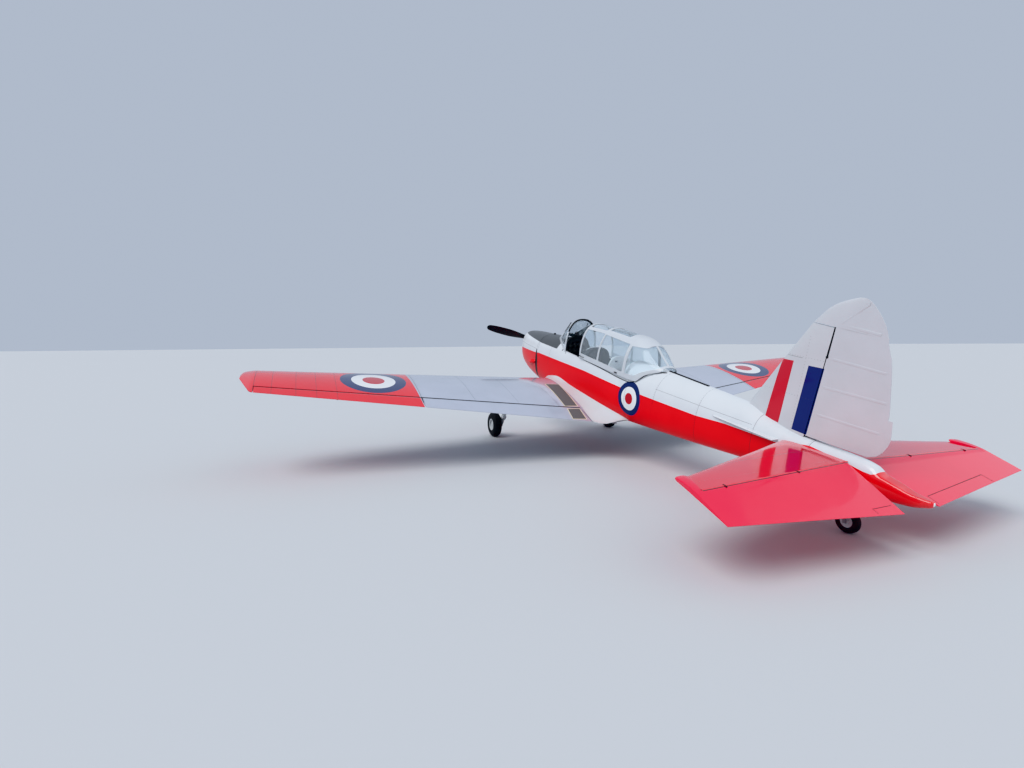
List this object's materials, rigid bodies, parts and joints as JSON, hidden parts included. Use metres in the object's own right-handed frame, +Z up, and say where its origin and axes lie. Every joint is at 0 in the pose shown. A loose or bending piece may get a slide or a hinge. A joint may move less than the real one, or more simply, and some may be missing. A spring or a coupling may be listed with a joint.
{
  "type": "light aircraft",
  "caption": "Low-wing tandem two-seat training aircraft with sliding canopy, fixed tailwheel gear, flaps, ailerons, rudder and elevators, parked tail down.",
  "frame": {"origin": "on the ground at the middle of the outer size, with the tyres on Z 0 and the tail down as it parks", "axes": "+X forward towards the propeller, +Y towards the left wing tip, +Z up"},
  "size_m": [7.6285, 10.456, 2.1081],
  "materials": {
    "white_enamel": "gloss white enamel",
    "red_enamel": "gloss signal red enamel",
    "silver_grey_enamel": "semi-gloss light grey enamel",
    "cockpit_black": "matt black paint",
    "control_black": "matt black grip",
    "seat_cloth": "matt woven cloth over a pan",
    "clear_acrylic": "clear polished acrylic",
    "propeller_black": "satin black paint over metal",
    "engine_metal": "cast, oiled",
    "exhaust_metal": "heat-stained",
    "bare_steel": "satin",
    "wheel_enamel": "gloss white enamel on cast alloy",
    "tyre_rubber": "matt, scuffed"
  },
  "bodies": {
    "airframe": {"engine_cowl": "white_enamel", "engine_block": "engine_metal", "fuselage_cockpit": "red_enamel", "fuselage_rear": "red_enamel", "tail_fairing": "red_enamel", "instrument_panel_front": "cockpit_black", "instrument_panel_rear": "cockpit_black", "seat_front": "seat_cloth", "seat_rear": "seat_cloth", "control_stick_front": "control_black", "control_stick_rear": "control_black", "windscreen_frame": "white_enamel", "windscreen_glass": "clear_acrylic", "hood_rail": "cockpit_black", "wing_left": "silver_grey_enamel", "wing_right": "silver_grey_enamel", "wing_fillet_left": "white_enamel", "wing_fillet_right": "white_enamel", "gear_leg_left": "white_enamel", "gear_leg_right": "white_enamel", "pitot_head": "bare_steel", "fin": "white_enamel", "tailplane_left": "red_enamel", "tailplane_right": "red_enamel", "strake_left": "white_enamel", "strake_right": "white_enamel", "exhaust_pipe": "exhaust_metal", "tail_leg": "white_enamel"},
    "propeller": {"propeller": "propeller_black", "spinner": "propeller_black"},
    "hood": {"hood_frame": "white_enamel", "hood_glass": "clear_acrylic"},
    "flap_left": {"flap_left": "silver_grey_enamel"},
    "flap_right": {"flap_right": "silver_grey_enamel"},
    "aileron_left": {"aileron_left": "red_enamel"},
    "aileron_right": {"aileron_right": "red_enamel"},
    "elevator_left": {"elevator_left": "red_enamel"},
    "elevator_right": {"elevator_right": "red_enamel"},
    "rudder": {"rudder": "white_enamel"},
    "wheel_left": {"wheel_rim_left": "wheel_enamel", "tyre_left": "tyre_rubber"},
    "wheel_right": {"wheel_rim_right": "wheel_enamel", "tyre_right": "tyre_rubber"},
    "tail_fork": {"tailwheel_fork": "bare_steel"},
    "tail_wheel": {"tailwheel_rim": "wheel_enamel", "tailwheel_tyre": "tyre_rubber"}
  },
  "joints": [
    {"name": "propeller_spin", "type": "hinge", "parent": "airframe", "child": "propeller", "pos_m": [3.63722, 0, 1.814], "axis": [0.9839, 0, 0.1788], "continuous": true},
    {"name": "hood_slide", "type": "slide", "parent": "airframe", "child": "hood", "axis": [0.9795, 0, 0.2014], "range_m": [-0.56, 0.47]},
    {"name": "flap_left_hinge", "type": "hinge", "parent": "airframe", "child": "flap_left", "pos_m": [0.54287, 0.6, 0.66681], "axis": [-0.0939, -0.989, -0.1139], "range_deg": [0, 30]},
    {"name": "flap_right_hinge", "type": "hinge", "parent": "airframe", "child": "flap_right", "pos_m": [0.54287, -0.6, 0.66681], "axis": [0.0939, -0.989, 0.1139], "range_deg": [0, 30]},
    {"name": "aileron_left_hinge", "type": "hinge", "parent": "airframe", "child": "aileron_left", "pos_m": [0.7676, 2.967, 0.93935], "axis": [0.0939, 0.989, 0.1139], "range_deg": [-18, 18]},
    {"name": "aileron_right_hinge", "type": "hinge", "parent": "airframe", "child": "aileron_right", "pos_m": [0.7676, -2.967, 0.93935], "axis": [-0.0939, 0.989, -0.1139], "range_deg": [-18, 18]},
    {"name": "elevator_left_hinge", "type": "hinge", "parent": "airframe", "child": "elevator_left", "pos_m": [-3.18653, 0.108, 0.61457], "axis": [-0.0386, 0.9992, -0.007], "range_deg": [0, 40]},
    {"name": "elevator_right_hinge", "type": "hinge", "parent": "airframe", "child": "elevator_right", "pos_m": [-3.18653, -0.108, 0.61457], "axis": [0.0386, 0.9992, 0.007], "range_deg": [0, 40]},
    {"name": "rudder_hinge", "type": "hinge", "parent": "airframe", "child": "rudder", "pos_m": [-2.76356, 0, 0.80527], "axis": [-0.22, 0, 0.9755], "range_deg": [-27, 27]},
    {"name": "wheel_left_spin", "type": "hinge", "parent": "airframe", "child": "wheel_left", "pos_m": [2.539, 1.235, 0.223], "axis": [0, 1, 0], "continuous": true},
    {"name": "wheel_right_spin", "type": "hinge", "parent": "airframe", "child": "wheel_right", "pos_m": [2.539, -1.235, 0.223], "axis": [0, 1, 0], "continuous": true},
    {"name": "tailwheel_castor", "type": "hinge", "parent": "airframe", "child": "tail_fork", "pos_m": [-3.041, 0, 0.3], "axis": [0, 0, 1], "range_deg": [-90, 90]},
    {"name": "tailwheel_spin", "type": "hinge", "parent": "tail_fork", "child": "tail_wheel", "pos_m": [-3.161, 0, 0.108], "axis": [0, 1, 0], "continuous": true}
  ],
  "couplings": [
    {"joint": "flap_right_hinge", "follows": "flap_left_hinge", "ratio": 1},
    {"joint": "aileron_right_hinge", "follows": "aileron_left_hinge", "ratio": -1},
    {"joint": "elevator_right_hinge", "follows": "elevator_left_hinge", "ratio": 1}
  ]
}
